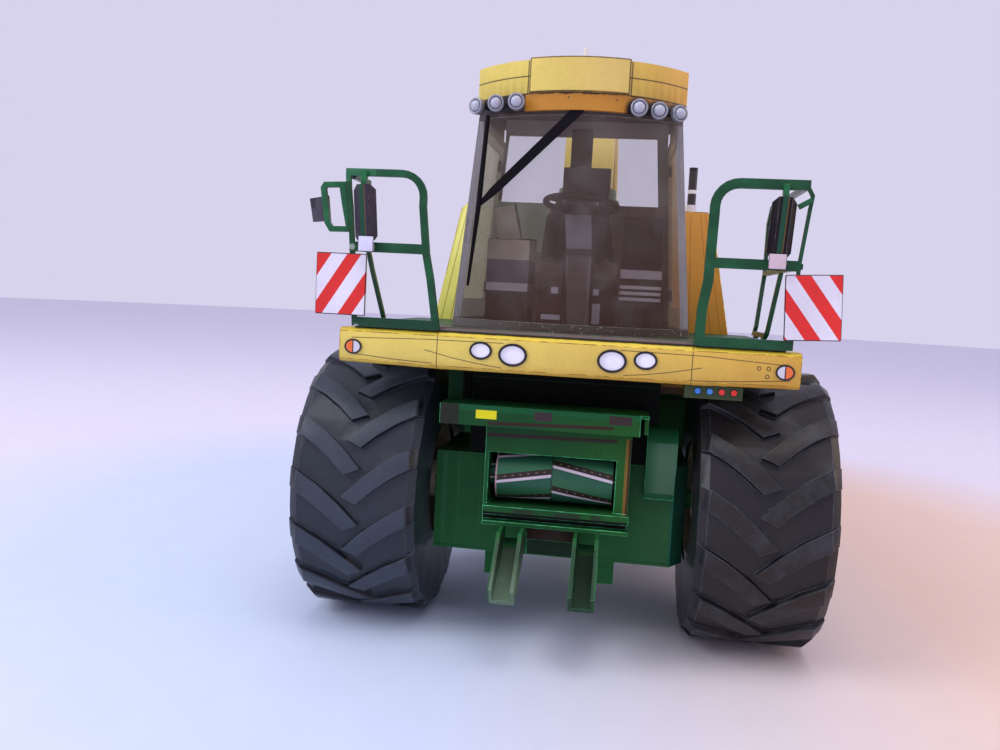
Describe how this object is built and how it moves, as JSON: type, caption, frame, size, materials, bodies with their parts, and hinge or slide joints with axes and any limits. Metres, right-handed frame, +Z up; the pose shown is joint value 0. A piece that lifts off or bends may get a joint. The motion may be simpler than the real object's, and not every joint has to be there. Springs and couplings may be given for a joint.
{
  "type": "card model of a self-propelled forage harvester",
  "caption": "Card model of a forage harvester: lugged wheels, glazed cab behind a yellow front beam, side guard rails, feed opening, long rear body and a swivelling discharge spout.",
  "frame": {"origin": "on the floor under the middle of the model's length and width", "axes": "+Z up; the front faces -Y, so +Y runs rearwards along the machine; +X is the machine's left, on the right of a front view"},
  "size_m": [0.13, 0.243, 0.1582],
  "materials": {
    "green_card": "printed matt card, dark green",
    "chassis_green": "printed matt card, mid green",
    "yellow_card": "printed satin card, yellow",
    "rail_green": "thick card painted dark green, slight gloss",
    "tyre_card": "printed card, slate grey, satin",
    "rim_card": "printed card, cream",
    "roller_card": "printed card with light edge lines",
    "lamp_card": "printed card with a grey gradient and a dark rim",
    "dark_card": "printed card, near black",
    "cab_card": "printed card, dark grey",
    "cab_film": "smoky clear film",
    "lamp_metal": "grey, rounded, slightly glossy",
    "wire_black": "black wire and card",
    "wire_white": "white rod",
    "seat_card": "printed card, dark grey",
    "column_card": "printed card, dark grey",
    "console_card": "printed card, beige and grey",
    "mirror_card": "printed card, dark purple grey",
    "board_card": "printed card with red and white diagonal stripes",
    "grille_card": "printed card, louvres",
    "rear_lamp_card": "printed card, red",
    "exhaust_card": "rolled card, dark with a light band"
  },
  "bodies": {
    "machine": {"chassis": "chassis_green", "front_axle": "chassis_green", "rear_axle": "chassis_green", "chopper_housing": "green_card", "feed_frame": "chassis_green", "feed_roller": "roller_card", "coupling_hooks": "chassis_green", "coupler_block": "chassis_green", "fascia": "yellow_card", "fascia_lamps": "lamp_card", "platform": "green_card", "cab_frame": "cab_card", "cab_doors": "cab_card", "windscreen": "cab_film", "side_glass": "cab_film", "rear_glass": "cab_film", "roof": "yellow_card", "roof_sign": "yellow_card", "work_lamps": "lamp_metal", "antenna": "wire_white", "wiper": "wire_black", "seat": "seat_card", "steering_column": "column_card", "consoles": "console_card", "front_rails": "rail_green", "side_rails": "rail_green", "mirrors": "mirror_card", "mirror_arms": "rail_green", "reflectors": "board_card", "warning_boards": "board_card", "hood": "yellow_card", "hood_grilles": "grille_card", "rear_grille": "grille_card", "rear_lamps": "rear_lamp_card", "exhaust": "exhaust_card", "spout_turret": "green_card", "side_tank": "green_card", "step_box": "green_card", "ladder": "rail_green", "tow_hitch": "green_card"},
    "spout": {"spout": "yellow_card"},
    "wheel_front_left": {"tyre_front_left": "tyre_card", "rim_front_left": "rim_card"},
    "wheel_front_right": {"tyre_front_right": "tyre_card", "rim_front_right": "rim_card"},
    "wheel_rear_left": {"tyre_rear_left": "tyre_card", "rim_rear_left": "rim_card"},
    "wheel_rear_right": {"tyre_rear_right": "tyre_card", "rim_rear_right": "rim_card"}
  },
  "joints": [
    {"name": "spout_swivel", "type": "hinge", "parent": "machine", "child": "spout", "pos_m": [0, -0.0335, 0.118], "axis": [0, 0, 1], "range_deg": [-100, 100]},
    {"name": "wheel_front_left_spin", "type": "hinge", "parent": "machine", "child": "wheel_front_left", "pos_m": [0, -0.078, 0.0355], "axis": [1, 0, 0], "continuous": true},
    {"name": "wheel_front_right_spin", "type": "hinge", "parent": "machine", "child": "wheel_front_right", "pos_m": [0, -0.078, 0.0355], "axis": [1, 0, 0], "continuous": true},
    {"name": "wheel_rear_left_spin", "type": "hinge", "parent": "machine", "child": "wheel_rear_left", "pos_m": [0, 0.048, 0.028], "axis": [1, 0, 0], "continuous": true},
    {"name": "wheel_rear_right_spin", "type": "hinge", "parent": "machine", "child": "wheel_rear_right", "pos_m": [0, 0.048, 0.028], "axis": [1, 0, 0], "continuous": true}
  ]
}
